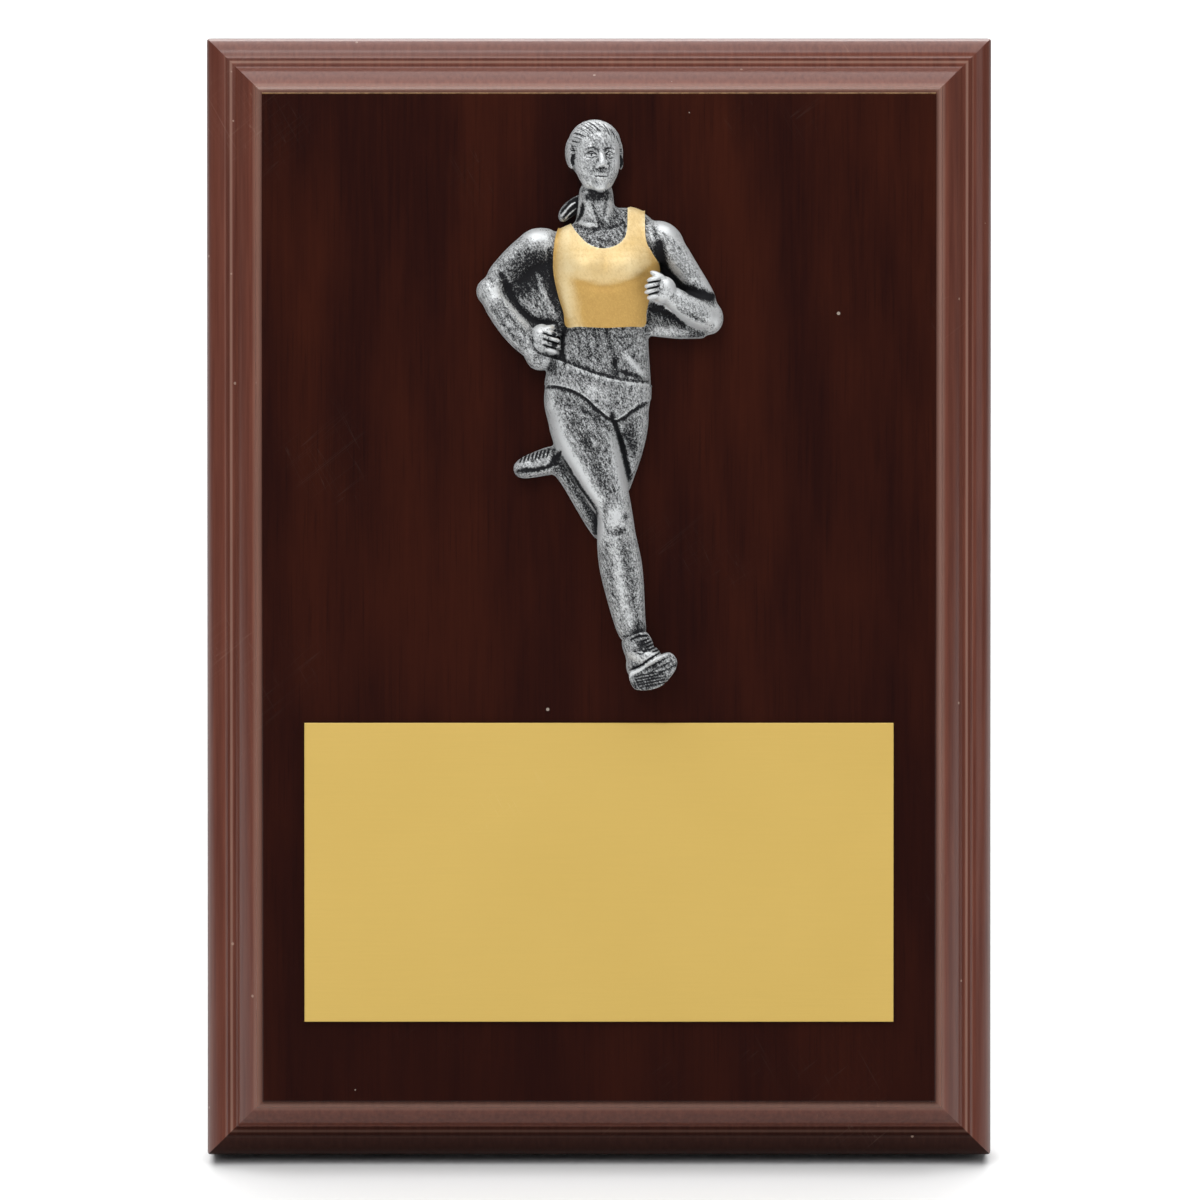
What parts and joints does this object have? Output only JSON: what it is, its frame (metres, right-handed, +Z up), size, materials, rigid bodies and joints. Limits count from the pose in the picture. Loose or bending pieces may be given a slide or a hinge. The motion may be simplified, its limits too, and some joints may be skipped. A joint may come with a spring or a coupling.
{
  "type": "figure plaque trophy",
  "caption": "Upright wooden presentation plaque with moulded edge, cast runner in relief, blank gold engraving plate, keyhole hanger and folding easel leg behind.",
  "frame": {"origin": "on the table, under the middle of the whole object as it stands on its rear bottom edge and open easel leg", "axes": "+Z up, -Y towards the reader of the plaque, +X to the reader's right; the board leans back 12 degrees about X"},
  "size_m": [0.125, 0.0544, 0.1757],
  "materials": {
    "moulding_lacquer": "satin red-brown lacquer over routed fibreboard",
    "rosewood_face": "dark rosewood veneer with a gloss lacquer, fine upright grain",
    "antique_silver": "cast resin painted silver, black wash in the hollows, high spots rubbed bright",
    "singlet_gold": "matt pale gold paint on the casting's running top",
    "gold_plate": "fine satin gold anodised engraving plate, blank",
    "adhesive_film": "thin double-sided film",
    "felt": "black pressed felt",
    "leg_board": "black-stained hardboard",
    "zinc_steel": "bright zinc-plated steel",
    "brassed_steel": "brass-plated pressed steel",
    "rubber": "soft black rubber"
  },
  "bodies": {
    "plaque": {"plaque_board": "moulding_lacquer", "face_veneer": "rosewood_face", "back_lining": "felt", "runner_casting": "antique_silver", "casting_screws": "zinc_steel", "casting_washers": "zinc_steel", "plate_tape": "adhesive_film", "engraving_plate": "gold_plate", "keyhole_hanger": "zinc_steel", "hanger_screws": "zinc_steel", "wall_bumpers": "rubber", "hinge_board_leaf": "brassed_steel", "board_leaf_screws": "brassed_steel", "hinge_pin": "brassed_steel"},
    "easel": {"hinge_leg_leaf": "brassed_steel", "leg_rivets": "brassed_steel", "easel_leg": "leg_board", "leg_lining": "felt", "leg_boot": "rubber"}
  },
  "joints": [
    {"name": "easel_fold", "type": "hinge", "parent": "plaque", "child": "easel", "pos_m": [0, 0.00945, 0.10225], "axis": [1, 0, 0], "range_deg": [-20, 0]}
  ]
}
